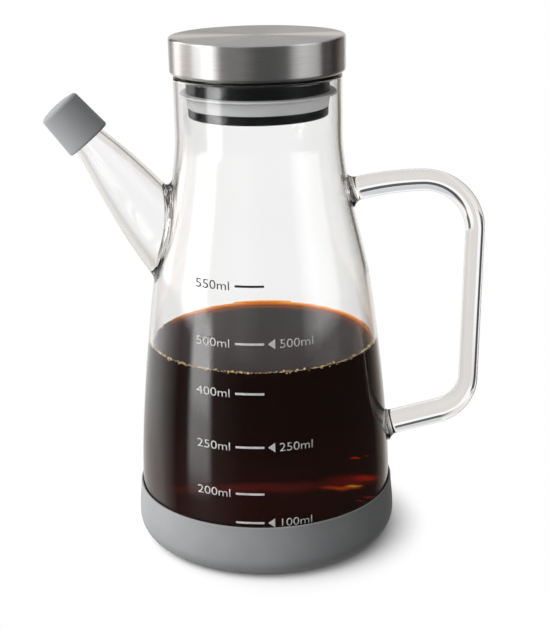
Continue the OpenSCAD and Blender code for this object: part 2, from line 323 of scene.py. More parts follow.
def spout_place(s):
    """The point and the direction in degrees at a length along the spout's axis."""
    lean = 90 + spout_lean
    if s < spout_straight:
        return spout_root + s * heading(lean), lean
    bend_start = spout_root + spout_straight * heading(lean)
    centre = bend_start + spout_bend_r * heading(lean + 90)
    turn = math.degrees(min(s, spout_reach) - spout_straight) / spout_bend_r
    point = centre - spout_bend_r * heading(lean + turn + 90)
    return point + max(0, s - spout_reach) * heading(lean + turn), lean + turn


def on_spout(s, radius, angle):
    """A point at a radius about the spout's axis. Angle 0 is on its upper side."""
    point, lean = spout_place(s)
    return point + radius * (math.cos(angle) * heading(lean - 90) + Vector((0, math.sin(angle), 0)))


def wall_length(radius_of_s, angle):
    """The length along the spout's axis at which a tube of that radius leaves the glass wall."""
    inside, outside = -spout_sink, spout_reach
    halvings = 40
    for _ in range(halvings):
        middle = (inside + outside) / 2
        point = on_spout(middle, radius_of_s(middle), angle)
        if math.hypot(point.x, point.y) < wall_radius(point.z):
            inside = middle
        else:
            outside = middle
    return outside


def lofted(name, rings):
    """A closed tube through rings of points, in mm, whose last ring joins the first."""
    work = bmesh.new()
    made = [[work.verts.new(point * MM) for point in ring] for ring in rings]
    for low, high in zip(made, made[1:] + made[:1]):
        for k in range(len(low)):
            work.faces.new((low[k - 1], low[k], high[k], high[k - 1]))
    bmesh.ops.recalc_face_normals(work, faces=work.faces)
    return finished(work, name, 50)


spout_angles = [2 * math.pi * k / 96 for k in range(96)]
weld_sink = 0.4
weld_steps = 8
weld_clearance = 1
clear_steps = 10
root_steps = 12
tube_steps = 40
lip_steps = 8


def spout_ring(s_of_angle, radius_of_s):
    """Points round the spout, whose length along the axis depends on their angle."""
    return [on_spout(s_of_angle(a), radius_of_s(s_of_angle(a)), a) for a in spout_angles]


def spout_fillet(angle):
    """Size of the weld's fillet round the root, which is larger on the upper side."""
    lower, more_on_top = 1.2, 2.6
    return lower + more_on_top * ((1 + math.cos(angle)) / 2) ** 3


spout_rings = []
for step in range(weld_steps + 1):
    turn = math.pi / 2 * (1 - step / weld_steps)
    ring = []
    for angle in spout_angles:
        fillet = spout_fillet(angle)
        flare = fillet * (1 - math.cos(turn))
        meets = wall_length(lambda s: funnel_radius(s) + flare, angle)
        s = meets + fillet * (1 - math.sin(turn)) - (weld_sink if step == 0 else 0)
        ring.append(on_spout(s, funnel_radius(s) + flare, angle))
    spout_rings.append(ring)
weld_top = {a: wall_length(funnel_radius, a) + spout_fillet(a) for a in spout_angles}
bore_start = {a: wall_length(bore_radius, a) - weld_sink for a in spout_angles}
clear_s = max(weld_top.values()) + weld_clearance
for step in range(1, clear_steps + 1):
    share = step / clear_steps
    spout_rings.append(spout_ring(lambda a: weld_top[a] + (clear_s - weld_top[a]) * share, funnel_radius))
for step in range(1, tube_steps + 1):
    s = clear_s + (lip_s - clear_s) * step / tube_steps
    spout_rings.append(spout_ring(lambda a: s, funnel_radius))
for step in range(1, lip_steps):
    turn = math.pi * step / lip_steps
    s = spout_tip_s - lip_r * (1 - math.sin(turn))
    radius = spout_tip_r - lip_r * (1 - math.cos(turn))
    spout_rings.append(spout_ring(lambda a: s, lambda s: radius))
for step in range(tube_steps + 1):
    s = lip_s + (clear_s - lip_s) * step / tube_steps
    spout_rings.append(spout_ring(lambda a: s, bore_radius))
for step in range(1, root_steps + 1):
    share = step / root_steps
    spout_rings.append(spout_ring(lambda a: clear_s + (bore_start[a] - clear_s) * share, bore_radius))
drawn_glass = clear_glass("drawn_borosilicate_glass", "#f8f8f7", "#e6e4e2")
spout = add_piece(lofted("spout_glass", spout_rings), drawn_glass, "bottle", "borosilicate_glass", "spout")
spout.visible_shadow = False

# Handle
# A solid rod of the same glass, bent in one plane in the flame and welded to the flask at both
# ends, where it swells into the wall. It is drawn thinner along the grip.
arm_r = 8.5 / 2
grip_r = 7 / 2
low_r = 9.1 / 2
handle_z = base_z + 126
arm_rise = 14.5
arm_sweep_r = 102
upper_bend_r = 19
grip_lean = 1.1
grip_len = 55
lower_bend_r = 14
lower_rise = 13.5
weld_swell = 1.9
weld_len = 3.2
weld_fall = 2.4
rod_sink = 0.9
rod_step = 0.7
rod_sides = 48
# Radius and degrees of each bend, and the straight grip's length
rod_runs = [
    (arm_sweep_r, arm_rise), (upper_bend_r, 90 + grip_lean), (None, grip_len),
    (lower_bend_r, 90 - grip_lean - lower_rise)]
point = Vector((wall_radius(handle_z), 0, handle_z))
lean = arm_rise
rod_points = [point - rod_sink * heading(arm_rise)]
run_ends = []
length = 0
for radius, amount in rod_runs:
    run = amount if radius is None else radius * math.radians(amount)
    steps = round(run / rod_step)
    for i in range(steps):
        rod_points.append(point)
        turn = 0 if radius is None else amount / steps
        point = point + run / steps * heading(lean - turn / 2)
        lean = lean - turn
    length += run
    run_ends.append(length)
while math.hypot(point.x, point.y) > wall_radius(point.z) - rod_sink:
    rod_points.append(point)
    point = point + rod_step / 2 * heading(lean)
rod_points.append(point)
rod_s = [-rod_sink]
for before, after in zip(rod_points, rod_points[1:]):
    rod_s.append(rod_s[-1] + (after - before).length)
rod_end = rod_s[-1] - rod_sink


def share_between(x, low, high):
    """0 below low, 1 above high and even between."""
    return min(1, max(0, (x - low) / (high - low)))


def rod_radius(s):
    """Radius of the rod at a length along it, with the swelling at each weld."""
    _, bend_end, grip_end, low_end = run_ends
    radius = arm_r + (grip_r - arm_r) * share_between(s, 0, bend_end)
    radius += (low_r - grip_r) * share_between(s, grip_end, low_end)
    for distance in (s, rod_end - s):
        radius += weld_swell * max(0, 1 - max(0, distance) / weld_len) ** weld_fall
    return radius


def new_tree(name, inputs, output):
    """A Geometry Nodes tree with inputs of the given kinds and one output, and what its inputs give."""
    tree = bpy.data.node_groups.new(name, "GeometryNodeTree")
    for label, kind in inputs.items():
        tree.interface.new_socket(label, in_out="INPUT", socket_type=f"NodeSocket{kind}")
    tree.interface.new_socket(output, in_out="OUTPUT", socket_type="NodeSocketGeometry")
    return tree, add_node(tree, "NodeGroupInput").outputs


def end_tree(tree, geometry, material):
    """Ends a tree with plain geometry of one material."""
    plain = add_node(tree, "GeometryNodeRealizeInstances", [("Geometry", geometry)])
    coated = add_node(tree, "GeometryNodeSetMaterial", [("Geometry", plain), ("Material", material)])
    add_node(tree, "NodeGroupOutput", [(0, coated)])


def grown(name, host_mesh, tree, values):
    """The plain mesh that a node tree makes from a host mesh, with its inputs set by identifier."""
    host = put_in_scene(host_mesh)
    nodes = host.modifiers.new(name, "NODES")
    nodes.node_group = tree
    for item in tree.interface.items_tree:
        if item.name in values:
            nodes[item.identifier] = values[item.name]
    made = plain_mesh(host)
    bpy.data.objects.remove(host)
    made.name = name
    return made


rod_line = bpy.data.meshes.new("rod_line")
rod_line.from_pydata([p * MM for p in rod_points], [(i, i + 1) for i in range(len(rod_points) - 1)], [])
rod_widths = rod_line.attributes.new("rod_radius", "FLOAT", "POINT")
rod_widths.data.foreach_set("value", [rod_radius(s) * MM for s in rod_s])
tree, given = new_tree("bent_glass_rod", {"Line": "Geometry", "Sides": "Int", "Glass": "Material"}, "Rod")
width = add_node(tree, "GeometryNodeInputNamedAttribute", [("Name", "rod_radius")], data_type="FLOAT")
line = add_node(tree, "GeometryNodeMeshToCurve", [("Mesh", given["Line"])])
section = add_node(tree, "GeometryNodeCurvePrimitiveCircle", [("Resolution", given["Sides"])])
rod = add_node(tree, "GeometryNodeCurveToMesh", [
    ("Curve", line), ("Profile Curve", section), ("Scale", width), ("Fill Caps", True)])
smooth = add_node(tree, "GeometryNodeSetShadeSmooth", [("Geometry", rod)])
end_tree(tree, smooth, given["Glass"])
rod_glass = clear_glass("borosilicate_rod_glass", "#f5f4f3", "#bcb8b4")
handle_mesh = grown("handle_glass", rod_line, tree, {"Sides": rod_sides, "Glass": rod_glass})
handle = add_piece(handle_mesh, rod_glass, "bottle", "borosilicate_glass", "handle")
handle.visible_shadow = False

# Vinegar
# Dark aged vinegar that wets the glass, so it has no gap to the wall and climbs a little at its
# edge. It lets through so little light that only its thin edge shows amber.
fill_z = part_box("vinegar")[1].z / MM
wet_overlap = 0.25
edge_rise = 1.3
edge_reach = 3.2
edge_z = fill_z + edge_rise
liquid_side = [(r - wall + wet_overlap, z) for r, z in side if z < fill_z]
edge_r = wall_radius(edge_z) - wall + wet_overlap
liquid_outline = (
    [(0, floor_z - wet_overlap)]
    + arc((corner_x, floor_z + cavity_corner_r), cavity_corner_r + wet_overlap, -90, 0)
    + liquid_side + [(edge_r, edge_z)]
    + bezier((edge_r - 0.15, edge_z), (edge_r - 0.3, fill_z + 0.45 * edge_rise),
             (edge_r - 0.35 * edge_reach, fill_z), (edge_r - edge_reach, fill_z), 12)
    + [(0, fill_z)])


def from_axis(tree, place):
    """Distance from the flask's axis."""
    flat_place = add_node(tree, "ShaderNodeCombineXYZ", [("X", place["X"]), ("Y", place["Y"])])
    return add_node(tree, "ShaderNodeVectorMath", [(0, flat_place)], operation="LENGTH")


# Near-black brown with a mirror-smooth skin, a little redder low down, which is painted light coming in
# near the bottom.
# The far edge of its top has painted amber colour and glow, and the red and orange streaks low down on the
# handle side are painted light.
red_z, black_z = 22, 60
amber_reach = 7
back_lit_reach = 22
back_lit_way = (0.3, 0.95, 0)
skin_t = 0.05
vinegar_stuff, tree, shader = new_material("dark_vinegar", Roughness=0.03, IOR=1.34, Emission_Strength=0.6)
coords = add_node(tree, "ShaderNodeTexCoord").outputs["Object"]
place = add_node(tree, "ShaderNodeSeparateXYZ", [("Vector", coords)]).outputs
# Painted light: redder low down, where light comes in near the bottom, and blacker higher up
depth = add_node(tree, "ShaderNodeMapRange", [
    ("Value", place["Z"]), ("From Min", red_z * MM), ("From Max", black_z * MM)],
    interpolation_type="SMOOTHSTEP")
deep = add_node(tree, "ShaderNodeValToRGB", [("Fac", depth)], [(0.0, "#220b07"), (1.0, "#140503")])
edge = add_node(tree, "ShaderNodeMapRange", [
    ("Value", from_axis(tree, place)), ("From Min", (edge_r - amber_reach) * MM),
    ("From Max", edge_r * MM)])
ambers = [(0.0, "#0b0504"), (1.0, "#e8b068"), (0.4, "#2a0f08"), (0.8, "#5c2c14"), (0.93, "#b8641c")]
amber = add_node(tree, "ShaderNodeValToRGB", [("Fac", edge)], ambers)
# Painted light: only the far edge has bright paper behind it, so amber colour and glow are painted on the
# far edge of the top
back_way = add_node(tree, "ShaderNodeVectorMath", [(0, coords), (1, back_lit_way)], operation="DOT_PRODUCT")
back_lit = add_node(tree, "ShaderNodeMapRange", [
    ("Value", back_way), ("From Min", 0), ("From Max", back_lit_reach * MM)],
    interpolation_type="SMOOTHSTEP")
on_top = add_node(tree, "ShaderNodeMapRange", [
    ("Value", place["Z"]), ("From Min", (fill_z - skin_t) * MM), ("From Max", fill_z * MM)])
shine = add_node(tree, "ShaderNodeMath", [(0, back_lit), (1, on_top)], operation="MULTIPLY")
painted_glow = add_node(tree, "ShaderNodeMix", [(0, shine), (6, (0, 0, 0, 1)), (7, amber)], data_type="RGBA")
colour = add_node(tree, "ShaderNodeMix", [(0, shine), (6, deep), (7, amber)], data_type="RGBA")
# Each painted glow streak: middle across and up the slant in mm, half its length and thickness, colour
streak_slant = 0.45
streak_wave = 6
streak_sway = (3 * MM, 2 * MM, 0)
painted_glow_streaks = [
    (0, 14.4, 46, 3, "#4a1612"), (30, 16.2, 15, 3.2, "#5a130b"), (35, 17, 7, 1.5, "#a3200c"),
    (26, 13.7, 10, 1.1, "#a83c0e"), (30.5, 14.2, 4.5, 0.7, "#e08a26"), (31.1, 24.7, 2.6, 0.6, "#b0260c"),
    (35.5, 25.6, 1.6, 0.4, "#6e180c"), (36.5, 9.5, 3.4, 0.7, "#8a2410"), (33, 8.2, 2.6, 0.5, "#6e180c")]
slant = add_node(tree, "ShaderNodeMath", [
    (0, place["Y"]), (1, streak_slant), (2, place["Z"])], operation="MULTIPLY_ADD")
across = add_node(tree, "ShaderNodeCombineXYZ", [("X", place["X"]), ("Y", slant)])
ripple = add_node(tree, "ShaderNodeTexNoise", [("Vector", across), ("Scale", 1 / (streak_wave * MM))])
wander = add_node(tree, "ShaderNodeVectorMath", [
    (0, ripple.outputs["Color"]), (1, (0.5, 0.5, 0.5))], operation="SUBTRACT")
swayed = add_node(tree, "ShaderNodeVectorMath", [
    (0, wander), (1, streak_sway), (2, across)], operation="MULTIPLY_ADD")
for middle, height, half_length, half_thickness, code in painted_glow_streaks:
    offset = add_node(tree, "ShaderNodeVectorMath", [
        (0, swayed), (1, (middle * MM, height * MM, 0))], operation="SUBTRACT")
    share = add_node(tree, "ShaderNodeVectorMath", [
        (0, offset), (1, (half_length * MM, half_thickness * MM, 1))], operation="DIVIDE")
    far = add_node(tree, "ShaderNodeVectorMath", [(0, share)], operation="LENGTH")
    glow = add_node(tree, "ShaderNodeMapRange", [
        ("Value", far), ("From Min", 1.0), ("From Max", 0.1)], interpolation_type="SMOOTHSTEP")
    colour = add_node(tree, "ShaderNodeMix", [(0, glow), (6, colour), (7, linear(code))], data_type="RGBA")
set_inputs(tree, shader, [("Base Color", colour), ("Emission Color", painted_glow)])
add_piece(turned("vinegar_fill", liquid_outline), vinegar_stuff, "bottle", "dark_vinegar", "vinegar")


# Bubbles
# A ring of fine froth that clings to the glass along the edge of the vinegar after pouring.
# The bubbles are thin amber skins of different sizes, dark brown to pale gold at random, where the pale
# gold is painted highlight.
def mottled(tree, shader, spot_mm, code, other_code, low=0.3, detail=2.0):
    """Colours a surface in soft spots of two shades, and gives back the spots."""
    coords = add_node(tree, "ShaderNodeTexCoord").outputs["Object"]
    spots = add_node(tree, "ShaderNodeTexNoise", [
        ("Vector", coords), ("Scale", 1 / (spot_mm * MM)), ("Detail", detail)])
    shade = add_node(tree, "ShaderNodeValToRGB", [("Fac", spots)], [(low, code), (1 - low, other_code)])
    set_inputs(tree, shader, [("Base Color", shade)])
    return spots


# Painted highlights: pale gold spots stand for glints on the bubbles
froth, tree, shader = new_material("vinegar_froth", Roughness=0.12, IOR=1.34)
mottled(tree, shader, 1.3, "#6b4520", "#e8cf9a", 0.35)
scatter_low = (-0.25 * MM, -0.25 * MM, -0.45 * MM)
scatter_high = (0.25 * MM, 0.25 * MM, 0.35 * MM)
froth_values = {
    "Count": 700, "Ring radius": (edge_r - wet_overlap - 0.1) * MM, "Height": edge_z * MM,
    "Smallest": 0.12 * MM, "Largest": 0.48 * MM, "Furthest back": 14 * MM, "Seed": 7, "Froth": froth}
tree, given = new_tree("froth_ring", {
    "Host": "Geometry", "Count": "Int", "Ring radius": "Float", "Height": "Float", "Smallest": "Float",
    "Largest": "Float", "Furthest back": "Float", "Seed": "Int", "Froth": "Material"}, "Bubbles")
ring = add_node(tree, "GeometryNodeMeshCircle", [
    ("Vertices", given["Count"]), ("Radius", given["Ring radius"])])
lift = add_node(tree, "ShaderNodeCombineXYZ", [("Z", given["Height"])])
scatter = add_node(tree, "FunctionNodeRandomValue", [
    (0, scatter_low), (1, scatter_high), ("Seed", given["Seed"])], data_type="FLOAT_VECTOR")
shift = add_node(tree, "ShaderNodeVectorMath", [(0, lift), (1, scatter)], operation="ADD")
spread = add_node(tree, "GeometryNodeSetPosition", [("Geometry", ring), ("Offset", shift)])
bubble = add_node(tree, "GeometryNodeMeshIcoSphere", [("Subdivisions", 2)])
size = add_node(tree, "FunctionNodeRandomValue", [
    (2, given["Smallest"]), (3, given["Largest"]), ("Seed", given["Seed"])], data_type="FLOAT")
where = add_node(tree, "ShaderNodeSeparateXYZ", [("Vector", add_node(tree, "GeometryNodeInputPosition"))])
near = add_node(tree, "FunctionNodeCompare", [
    (0, where.outputs["Y"]), (1, given["Furthest back"])], data_type="FLOAT", operation="LESS_THAN")
placed = add_node(tree, "GeometryNodeInstanceOnPoints", [
    ("Points", spread), ("Selection", near), ("Instance", bubble), ("Scale", size)])
smooth = add_node(tree, "GeometryNodeSetShadeSmooth", [("Geometry", placed)])
end_tree(tree, smooth, given["Froth"])
froth_host = bpy.data.meshes.new("froth_host")
add_piece(grown("froth", froth_host, tree, froth_values), froth, "bottle", "dark_vinegar")

# Printed scale
# Fired enamel print on the front of the glass: short lines, arrowheads and plain numbers. The
# highest mark stands over clear glass and is dark, and the others are pale to read on the vinegar.
line_left = -9.9
line_right = -0.1
line_steps = 12
print_tilt = 0.0186
tilt_z = 65
half_line = 0.75 / 2
digit_h = 2.9
label_w = 11.5
stroke_trim = -0.004
left_label_gap = 1.9
right_label_gap = 1.4
arrow_gap = 1.3
arrow_w = 2.4
half_arrow = 3.4 / 2
weld_mm = 0.001
# Height of each mark, and the words on its left and right
marks = [
    (104.3, "550ml", ""), (85.05, "500ml", "500ml"), (67.96, "400ml", ""), (49.17, "250ml", "250ml"),
    (32.3, "200ml", ""), (21.6, "", "100ml")]
front_y = -60


def letters(words):
    """A flat mesh of words that stands on the zero line, and its width and height."""
    text = bpy.data.curves.new("label", "FONT")
    text.body = words
    text.offset = stroke_trim
    label = put_in_scene(text)
    flat = plain_mesh(label)
    bpy.data.objects.remove(label)
    foot = min(v.co.y for v in flat.vertices)
    for v in flat.vertices:
        v.co.y -= foot
    return flat, [max(v.co[k] for v in flat.vertices) for k in (0, 1)]


full_w, full_h = letters("500ml")[1]


def flat_label(work, words, left, middle_z):
    """Draws a label flat in front of the flask, into a mesh, at its left edge and height."""
    flat = letters(words)[0]
    for v in flat.vertices:
        x = left + v.co.x / full_w * label_w
        z = middle_z + (v.co.y / full_h - 0.5) * digit_h
        v.co = Vector((x, front_y, z)) * MM
    work.from_mesh(flat)
    bpy.data.meshes.remove(flat)


def flat_shape(work, corners):
    """Draws a flat face in front of the flask, into a mesh."""
    work.faces.new([work.verts.new(Vector((x, front_y, z)) * MM) for x, z in corners])


tree, given = new_tree("print_on_glass", {
    "Flat print": "Geometry", "Flask": "Object", "Lift": "Float", "Thickness": "Float",
    "Enamel": "Material"}, "Print")
target = add_node(tree, "GeometryNodeObjectInfo", [("Object", given["Flask"])])
ray = add_node(tree, "GeometryNodeRaycast", [
    ("Target Geometry", target.outputs["Geometry"]), ("Ray Direction", (0, 1, 0)),
    ("Ray Length", 1.0)]).outputs
away = add_node(tree, "ShaderNodeVectorMath", [
    (0, ray["Hit Normal"]), ("Scale", given["Lift"])], operation="SCALE")
landed = add_node(tree, "ShaderNodeVectorMath", [(0, ray["Hit Position"]), (1, away)], operation="ADD")
wrapped = add_node(tree, "GeometryNodeSetPosition", [
    ("Geometry", given["Flat print"]), ("Position", landed)])
back = add_node(tree, "GeometryNodeFlipFaces", [("Mesh", wrapped)])
raised = add_node(tree, "GeometryNodeExtrudeMesh", [
    ("Mesh", wrapped), ("Individual", False), ("Offset Scale", given["Thickness"])])
whole = add_node(tree, "GeometryNodeJoinGeometry", [("Geometry", raised), ("Geometry", back)])
closed = add_node(tree, "GeometryNodeMergeByDistance", [("Geometry", whole), ("Distance", weld_mm * MM)])
end_tree(tree, closed, given["Enamel"])
print_tree = tree

inks = [("dark_enamel", "#161617", "#262627", marks[:1]), ("pale_enamel", "#aaa8a8", "#c4c2c2", marks[1:])]
for ink, code, pale_code, rows in inks:
    # Fired enamel: an even satin layer, a little thinner and greyer in places
    enamel, tree, shader = new_material(ink, Roughness=0.45)
    mottled(tree, shader, 1.5, code, pale_code)
    work = bmesh.new()
    for mark_z, left_words, right_words in rows:
        shift = print_tilt * (mark_z - tilt_z)
        xs = [shift + line_left + (line_right - line_left) * i / line_steps for i in range(line_steps + 1)]
        low_z, high_z = mark_z - half_line, mark_z + half_line
        for x0, x1 in zip(xs, xs[1:]):
            flat_shape(work, [(x0, low_z), (x1, low_z), (x1, high_z), (x0, high_z)])
        if left_words:
            flat_label(work, left_words, xs[0] - left_label_gap - label_w, mark_z)
        if right_words:
            tip = xs[-1] + arrow_gap
            tail = tip + arrow_w
            flat_shape(work, [(tip, mark_z), (tail, mark_z - half_arrow), (tail, mark_z + half_arrow)])
            flat_label(work, right_words, tail + right_label_gap, mark_z)
    bmesh.ops.remove_doubles(work, verts=work.verts, dist=weld_mm * MM)
    print_values = {"Flask": flask, "Lift": 0.03 * MM, "Thickness": 0.04 * MM, "Enamel": enamel}
    printed = grown(f"scale_{ink}", finished(work, ink), print_tree, print_values)
    add_piece(printed, enamel, "bottle", None)

# Base boot
# A moulded silicone boot, stretched over the foot of the glass so that it stays on by itself.
# Its wall thins to a rolled rim, and its bottom corner is a wide round.
boot_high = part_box("base_boot")[1] / MM
boot_r = boot_high.x
boot_rim_r = foot_r + 0.9
boot_corner_r = 7.5
boot_rim_round = 0.36
boot_rim_z = boot_high.z - boot_rim_round
boot_slope_h = boot_rim_z - boot_corner_r
boot_fit = 0.1
boot_hole_r = foot_r + boot_fit
boot_outline = (
    [(0, 0)] + arc((boot_r - boot_corner_r, boot_corner_r), boot_corner_r, -90, 0, 16)
    + bezier((boot_r, boot_corner_r), (boot_r, boot_corner_r + 0.45 * boot_slope_h),
             (boot_rim_r, boot_rim_z - 0.3 * boot_slope_h), (boot_rim_r, boot_rim_z), 20)
    + arc((boot_rim_r - boot_rim_round, boot_rim_z), boot_rim_round, 0, 90)
    + arc((boot_hole_r + boot_rim_round, boot_rim_z), boot_rim_round, 90, 180)
    + arc((corner_x + boot_fit, base_z + foot_corner_r), foot_corner_r, 0, -90) + [(0, base_z)])


def silicone(name, code, worn_code):
    """Moulded silicone: matte from a blasted mould, with a soft sheen and a little dust in its skin."""
    made, tree, shader = new_material(
        name, Roughness=0.58, IOR=1.41, Sheen_Weight=0.06, Sheen_Roughness=0.5)
    mottled(tree, shader, 14, code, worn_code, detail=4.0)
    # The blasted grain is finer than a pixel, so it is drawn at 0.5 mm
    grain_mm = 0.5
    coords = add_node(tree, "ShaderNodeTexCoord").outputs["Object"]
    grain = add_node(tree, "ShaderNodeTexNoise", [
        ("Vector", coords), ("Scale", 1 / (grain_mm * MM)), ("Detail", 2.0)])
    relief = add_node(tree, "ShaderNodeBump", [
        ("Height", grain), ("Strength", 0.25), ("Distance", 0.03 * MM)])
    set_inputs(tree, shader, [("Normal", relief)])
    return made


grey_silicone = silicone("grey_silicone", "#848586", "#8b8c8d")
add_piece(turned("base_boot_skin", boot_outline), grey_silicone, "bottle", "grey_silicone", "base_boot")

# Stopper
# A glossy black polypropylene moulding: a disc held inside the steel lid, a flange that rests on
# the glass rim and a hollow plug. A second moulding closes the plug from below.
lid_low, lid_high = (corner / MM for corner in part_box("lid_shell"))
lid_r = lid_high.x
lid_z = lid_low.z
lid_top_z = lid_high.z
steel_t = 0.7
snug = 0.1
hem_z = lid_z + 1.6
flange_r = neck_r - 0.6
collar_r = neck_r - wall - 2.7
collar_z = rim_z - 5.5
seat_r = collar_r - 2.3
seat_z = collar_z - 5.3
plug_hole_r = seat_r - 2.2
disc_r = lid_r - steel_t - snug
disc_z = hem_z + snug
disc_top_z = lid_top_z - steel_t
soft = 0.3


def rounded(corners, radius, steps=3):
    """A closed outline with its corners rounded off, by less than half of either side."""
    part = 2.2
    points = []
    for before, corner, after in zip(corners[-1:] + corners[:-1], corners, corners[1:] + corners[:1]):
        corner, before, after = Vector(corner), Vector(before), Vector(after)
        near = (before - corner).normalized()
        far = (after - corner).normalized()
        reach = min(radius, (before - corner).length / part, (after - corner).length / part)
        start, end = corner + near * reach, corner + far * reach
        for i in range(steps + 1):
            t = i / steps
            points.append(tuple((1 - t) ** 2 * start + 2 * t * (1 - t) * corner + t ** 2 * end))
    return points


# Glossy moulded polypropylene: deep black with a slight orange peel from the mould
black_plastic, tree, shader = new_material("black_polypropylene", Roughness=0.16, IOR=1.49)
peel = mottled(tree, shader, 3, "#070809", "#0e1011", detail=3.0)
relief = add_node(tree, "ShaderNodeBump", [("Height", peel), ("Strength", 0.1), ("Distance", 0.05 * MM)])
set_inputs(tree, shader, [("Normal", relief)])
plug_outline = rounded([
    (plug_hole_r, seat_z), (seat_r, seat_z), (seat_r, collar_z), (collar_r, collar_z), (collar_r, rim_z),
    (flange_r, rim_z), (flange_r, disc_z), (disc_r, disc_z), (disc_r, disc_top_z),
    (plug_hole_r, disc_top_z)], soft)
add_piece(turned("stopper_plug", plug_outline), black_plastic, "lid", "black_polypropylene", "stopper_body")
disc_low_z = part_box("stopper_base")[0].z / MM
base_disc_r = collar_r - 0.5
spigot_r = plug_hole_r - snug
spigot_z = seat_z + 4
base_edge = 0.55
base_outline = (
    [(0, disc_low_z)] + arc((base_disc_r - base_edge, disc_low_z + base_edge), base_edge, -90, 0)
    + arc((base_disc_r - soft, seat_z - soft), soft, 0, 90)
    + [(spigot_r, seat_z), (spigot_r, spigot_z), (0, spigot_z)])
add_piece(turned("stopper_disc", base_outline), black_plastic, "lid", "black_polypropylene", "stopper_base")

# Seal ring
# A moulded ring of paler silicone in the plug's seat. Its thin upper lip wipes the neck and
# holds the stopper by friction.
pale_silicone = silicone("pale_silicone", "#c9caca", "#d2d3d3")
seal_lip_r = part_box("seal_ring")[1].x / MM
lip_t = 0.7
ring_hole_r = seat_r + snug
ring_outline = rounded([
    (ring_hole_r, seat_z), (base_disc_r, seat_z), (collar_r, collar_z - 2 * lip_t),
    (seal_lip_r, collar_z - lip_t), (seal_lip_r, collar_z), (ring_hole_r, collar_z)], soft)
add_piece(turned("seal_ring_skin", ring_outline), pale_silicone, "lid", "pale_silicone", "seal_ring")

# Lid
# A cup drawn from stainless steel sheet, pressed over the stopper's disc and held by its hem.
# The side is brushed round and the top in circles, so both catch the light in bands.
lid_top_round = 0.8
lid_low_round = 1.2
inner_r = lid_r - steel_t
hem_r = flange_r + snug
lid_outline = (
    [(0, disc_top_z), (inner_r, disc_top_z), (inner_r, hem_z), (hem_r, hem_z), (hem_r, lid_z)]
    + arc((lid_r - lid_low_round, lid_z + lid_low_round), lid_low_round, -90, 0)
    + arc((lid_r - lid_top_round, lid_top_z - lid_top_round), lid_top_round, 0, 90) + [(0, lid_top_z)])
# Brushed stainless steel: long fine scratches round the axis stretch each highlight across them.
# They are finer than a pixel, so they are drawn 0.16 mm wide.
brush_mm = 0.16
scratches_per_radian = 2.2
steel, tree, shader = new_material(
    "brushed_stainless_steel", Metallic=1.0, Roughness=0.3, Anisotropic=0.9, Anisotropic_Rotation=0.25)
coords = add_node(tree, "ShaderNodeTexCoord").outputs["Object"]
place = add_node(tree, "ShaderNodeSeparateXYZ", [("Vector", coords)]).outputs
turn = add_node(tree, "ShaderNodeMath", [(0, place["Y"]), (1, place["X"])], operation="ARCTAN2")
track = add_node(tree, "ShaderNodeMath", [
    (0, from_axis(tree, place)), (1, place["Z"])], operation="SUBTRACT")
lines = add_node(tree, "ShaderNodeMath", [(0, track), (1, 1 / (brush_mm * MM))], operation="MULTIPLY")
runs = add_node(tree, "ShaderNodeMath", [(0, turn), (1, scratches_per_radian)], operation="MULTIPLY")
brushed = add_node(tree, "ShaderNodeCombineXYZ", [("X", lines), ("Y", runs)])
scratch = add_node(tree, "ShaderNodeTexNoise", [
    ("Vector", brushed), ("Scale", 1.0), ("Detail", 3.0), ("Roughness", 0.65)])
sheen = add_node(tree, "ShaderNodeValToRGB", [("Fac", scratch)], [(0.25, "#b4b3b2"), (0.75, "#d2d1d0")])
rough = add_node(tree, "ShaderNodeMapRange", [("Value", scratch), ("To Min", 0.24), ("To Max", 0.38)])
relief = add_node(tree, "ShaderNodeBump", [
    ("Height", scratch), ("Strength", 0.08), ("Distance", 0.02 * MM)])
round_axis = add_node(tree, "ShaderNodeTangent", direction_type="RADIAL", axis="Z")
set_inputs(tree, shader, [
    ("Base Color", sheen), ("Roughness", rough), ("Normal", relief), ("Tangent", round_axis)])
add_piece(turned("lid_steel", lid_outline, 256), steel, "lid", "brushed_stainless_steel", "lid_shell")

# Spout cap
# A moulded silicone thimble pushed over the spout's tip to keep dust and flies out.
# It narrows a little towards its closed end, which is slightly crowned.
cap_hole_r = spout_tip_r + 0.3
cap_mouth_r = cap_hole_r + 2.1
cap_end_r = cap_mouth_r - 0.7
cap_len = 15.8
cap_round = 1.6
cap_crown_z = cap_len + 0.6
cap_mouth_round = 0.8
cap_edge_r = cap_end_r - cap_round
cap_depth = spout_tip_len + 0.3
cap_outline = (
    [(0, cap_depth), (cap_hole_r, cap_depth), (cap_hole_r, 0)]
    + arc((cap_mouth_r - cap_mouth_round, cap_mouth_round), cap_mouth_round, -90, 0)
    + arc((cap_edge_r, cap_len - cap_round), cap_round, 0, 60)
    + bezier((cap_edge_r, cap_len), (cap_edge_r / 2, cap_crown_z), (cap_edge_r / 3, cap_crown_z),
             (0, cap_crown_z), 12))
cap_mesh = turned("spout_cap_skin", cap_outline, 96)
cap_mesh.transform(standing_at(*spout_place(spout_reach)))
add_piece(cap_mesh, grey_silicone, "cap", "grey_silicone", "spout_cap")

# Studio
# A pale floor, a soft lamp on the left and a room of light and dark screens, which the steel and
# the glass reflect. The camera stands where the photo was taken.
floor_r = 6.0
floor_work = bmesh.new()
bmesh.ops.create_circle(floor_work, cap_ends=True, segments=96, radius=floor_r)
floor_mesh = finished(floor_work, "floor")
floor = put_in_scene(floor_mesh)
